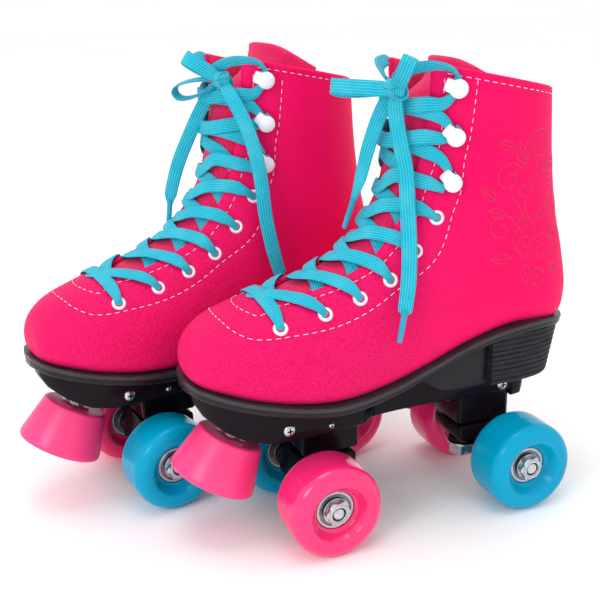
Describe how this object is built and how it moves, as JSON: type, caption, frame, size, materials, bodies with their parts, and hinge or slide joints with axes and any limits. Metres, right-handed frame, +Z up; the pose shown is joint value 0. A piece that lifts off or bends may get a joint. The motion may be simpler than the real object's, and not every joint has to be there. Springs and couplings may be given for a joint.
{
  "type": "pair of quad roller skates",
  "caption": "Pair of high lace-up quad roller skates with heeled boots, steering trucks, wheels on ball bearings and toe stops.",
  "frame": {"origin": "on the floor under the middle of the pair, bows left out", "axes": "+X toward the toes of the left skate, +Y toward the wearer's left, +Z up; the right skate is turned 9 degrees toe inward"},
  "size_m": [0.3174, 0.2152, 0.2677],
  "materials": {
    "boot_pink": "matte, fine pebbled grain",
    "tongue_pink": "matte woven",
    "insole_felt": "matte felt",
    "sole_rubber": "satin, stacked heel lines",
    "plate_plastic": "glossy moulded",
    "truck_plastic": "semi-gloss moulded",
    "cushion_rubber": "matte",
    "zinc_steel": "zinc plated",
    "bearing_steel": "polished rings",
    "stop_pink": "satin",
    "wheel_pink": "glossy cast",
    "wheel_blue": "glossy cast",
    "lace_turquoise": "flat woven",
    "white_hardware": "gloss enamel",
    "white_thread": "twisted thread"
  },
  "bodies": {
    "right_skate": {"right_boot_upper": "boot_pink", "right_tongue": "tongue_pink", "right_insole": "insole_felt", "right_sole_unit": "sole_rubber", "right_chassis": "plate_plastic", "right_toe_stop": "stop_pink", "right_toe_stop_stem": "zinc_steel", "right_lace_threaded": "lace_turquoise", "right_lace_free_ends": "lace_turquoise", "right_front_kingpin": "zinc_steel", "right_front_cushion": "cushion_rubber", "right_rear_kingpin": "zinc_steel", "right_rear_cushion": "cushion_rubber"},
    "right_front_truck": {"right_front_hanger": "truck_plastic", "right_front_axle": "zinc_steel", "right_front_outer_axle_nut": "zinc_steel", "right_front_inner_axle_nut": "zinc_steel"},
    "right_front_outer_roller": {"right_front_outer_wheel": "wheel_pink", "right_front_outer_bearings": "bearing_steel"},
    "right_front_inner_roller": {"right_front_inner_wheel": "wheel_blue", "right_front_inner_bearings": "bearing_steel"},
    "right_rear_truck": {"right_rear_hanger": "truck_plastic", "right_rear_axle": "zinc_steel", "right_rear_outer_axle_nut": "zinc_steel", "right_rear_inner_axle_nut": "zinc_steel"},
    "right_rear_outer_roller": {"right_rear_outer_wheel": "wheel_blue", "right_rear_outer_bearings": "bearing_steel"},
    "right_rear_inner_roller": {"right_rear_inner_wheel": "wheel_pink", "right_rear_inner_bearings": "bearing_steel"},
    "left_skate": {"left_boot_upper": "boot_pink", "left_tongue": "tongue_pink", "left_insole": "insole_felt", "left_sole_unit": "sole_rubber", "left_chassis": "plate_plastic", "left_toe_stop": "stop_pink", "left_toe_stop_stem": "zinc_steel", "left_lace_threaded": "lace_turquoise", "left_lace_free_ends": "lace_turquoise", "left_front_kingpin": "zinc_steel", "left_front_cushion": "cushion_rubber", "left_rear_kingpin": "zinc_steel", "left_rear_cushion": "cushion_rubber"},
    "left_front_truck": {"left_front_hanger": "truck_plastic", "left_front_axle": "zinc_steel", "left_front_outer_axle_nut": "zinc_steel", "left_front_inner_axle_nut": "zinc_steel"},
    "left_front_outer_roller": {"left_front_outer_wheel": "wheel_pink", "left_front_outer_bearings": "bearing_steel"},
    "left_front_inner_roller": {"left_front_inner_wheel": "wheel_blue", "left_front_inner_bearings": "bearing_steel"},
    "left_rear_truck": {"left_rear_hanger": "truck_plastic", "left_rear_axle": "zinc_steel", "left_rear_outer_axle_nut": "zinc_steel", "left_rear_inner_axle_nut": "zinc_steel"},
    "left_rear_outer_roller": {"left_rear_outer_wheel": "wheel_blue", "left_rear_outer_bearings": "bearing_steel"},
    "left_rear_inner_roller": {"left_rear_inner_wheel": "wheel_pink", "left_rear_inner_bearings": "bearing_steel"}
  },
  "joints": [
    {"name": "right_front_steer", "type": "hinge", "parent": "right_skate", "child": "right_front_truck", "pos_m": [0.06571, -0.03487, 0.038], "axis": [0.7609, 0.1205, 0.6376], "range_deg": [-5, 5], "stiffness_Nm_per_rad": 12},
    {"name": "right_front_outer_spin", "type": "hinge", "parent": "right_front_truck", "child": "right_front_outer_roller", "pos_m": [0.08845, -0.06974, 0.027], "axis": [-0.1564, 0.9877, 0], "continuous": true},
    {"name": "right_front_inner_spin", "type": "hinge", "parent": "right_front_truck", "child": "right_front_inner_roller", "pos_m": [0.07656, 0.00532, 0.027], "axis": [-0.1564, 0.9877, 0], "continuous": true},
    {"name": "right_rear_steer", "type": "hinge", "parent": "right_skate", "child": "right_rear_truck", "pos_m": [-0.02318, -0.04895, 0.038], "axis": [-0.7609, -0.1205, 0.6376], "range_deg": [-5, 5], "stiffness_Nm_per_rad": 12},
    {"name": "right_rear_outer_spin", "type": "hinge", "parent": "right_rear_truck", "child": "right_rear_outer_roller", "pos_m": [-0.03403, -0.08914, 0.027], "axis": [-0.1564, 0.9877, 0], "continuous": true},
    {"name": "right_rear_inner_spin", "type": "hinge", "parent": "right_rear_truck", "child": "right_rear_inner_roller", "pos_m": [-0.04591, -0.01407, 0.027], "axis": [-0.1564, 0.9877, 0], "continuous": true},
    {"name": "left_skate_aside", "type": "slide", "parent": "right_skate", "child": "left_skate", "axis": [0, 1, 0], "range_m": [0, 0.1]},
    {"name": "left_front_steer", "type": "hinge", "parent": "left_skate", "child": "left_front_truck", "pos_m": [-0.00773, 0.05409, 0.038], "axis": [0.7704, 0, 0.6376], "range_deg": [-5, 5], "stiffness_Nm_per_rad": 12},
    {"name": "left_front_outer_spin", "type": "hinge", "parent": "left_front_truck", "child": "left_front_outer_roller", "pos_m": [0.00927, 0.09209, 0.027], "axis": [0, 1, 0], "continuous": true},
    {"name": "left_front_inner_spin", "type": "hinge", "parent": "left_front_truck", "child": "left_front_inner_roller", "pos_m": [0.00927, 0.01609, 0.027], "axis": [0, 1, 0], "continuous": true},
    {"name": "left_rear_steer", "type": "hinge", "parent": "left_skate", "child": "left_rear_truck", "pos_m": [-0.09773, 0.05409, 0.038], "axis": [-0.7704, 0, 0.6376], "range_deg": [-5, 5], "stiffness_Nm_per_rad": 12},
    {"name": "left_rear_outer_spin", "type": "hinge", "parent": "left_rear_truck", "child": "left_rear_outer_roller", "pos_m": [-0.11473, 0.09209, 0.027], "axis": [0, 1, 0], "continuous": true},
    {"name": "left_rear_inner_spin", "type": "hinge", "parent": "left_rear_truck", "child": "left_rear_inner_roller", "pos_m": [-0.11473, 0.01609, 0.027], "axis": [0, 1, 0], "continuous": true}
  ]
}
